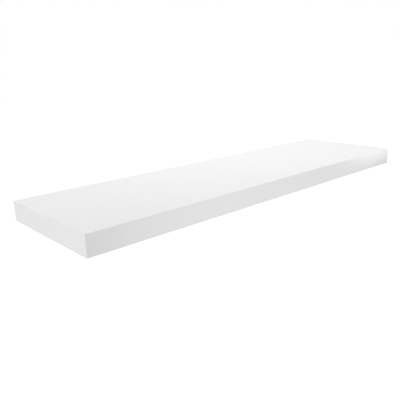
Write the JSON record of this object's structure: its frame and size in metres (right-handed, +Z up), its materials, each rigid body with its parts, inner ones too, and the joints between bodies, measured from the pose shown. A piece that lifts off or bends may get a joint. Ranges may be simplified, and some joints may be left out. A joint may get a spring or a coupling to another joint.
{
  "type": "floating wall shelf",
  "caption": "Plain white floating wall shelf: a square-edged hollow-core board that slides onto the rods of a hidden steel wall bracket and is locked by screws from below.",
  "frame": {"origin": "middle of the bracket plate's back face, on the wall's plane, at half the board's thickness", "axes": "+X along the wall, to the right as seen from the room; +Y into the wall, square to it; +Z up"},
  "size_m": [0.9, 0.25, 0.038],
  "materials": {
    "white_foil": "fibreboard skin with a satin white foil",
    "white_edging": "satin white plastic edge band",
    "particleboard": "raw sawn particleboard",
    "kraft_honeycomb": "raw brown kraft paper",
    "zinc_plated_steel": "dull blue-white zinc plating",
    "zinc_plated_screw": "bright zinc plating"
  },
  "bodies": {
    "bracket": {"bracket_plate": "zinc_plated_steel", "bracket_rod_left": "zinc_plated_steel", "bracket_rod_centre": "zinc_plated_steel", "bracket_rod_right": "zinc_plated_steel"},
    "board": {"top_skin": "white_foil", "bottom_skin": "white_foil", "front_edge_band": "white_edging", "left_edge_band": "white_edging", "right_edge_band": "white_edging", "front_rail": "particleboard", "left_end_rail": "particleboard", "right_end_rail": "particleboard", "bearer_left": "particleboard", "bearer_centre": "particleboard", "bearer_right": "particleboard", "rear_rail_far_left": "particleboard", "rear_rail_mid_left": "particleboard", "rear_rail_mid_right": "particleboard", "rear_rail_far_right": "particleboard", "honeycomb_far_left": "kraft_honeycomb", "honeycomb_mid_left": "kraft_honeycomb", "honeycomb_mid_right": "kraft_honeycomb", "honeycomb_far_right": "kraft_honeycomb"},
    "lock_screw_left": {"lock_screw_left": "zinc_plated_screw"},
    "lock_screw_right": {"lock_screw_right": "zinc_plated_screw"}
  },
  "joints": [
    {"name": "board_slide", "type": "slide", "parent": "bracket", "child": "board", "axis": [0, -1, 0], "range_m": [0, 0.155]},
    {"name": "lock_screw_left_travel", "type": "slide", "parent": "board", "child": "lock_screw_left", "axis": [0, 0, -1], "range_m": [0, 0.012]},
    {"name": "lock_screw_right_travel", "type": "slide", "parent": "board", "child": "lock_screw_right", "axis": [0, 0, -1], "range_m": [0, 0.012]}
  ]
}
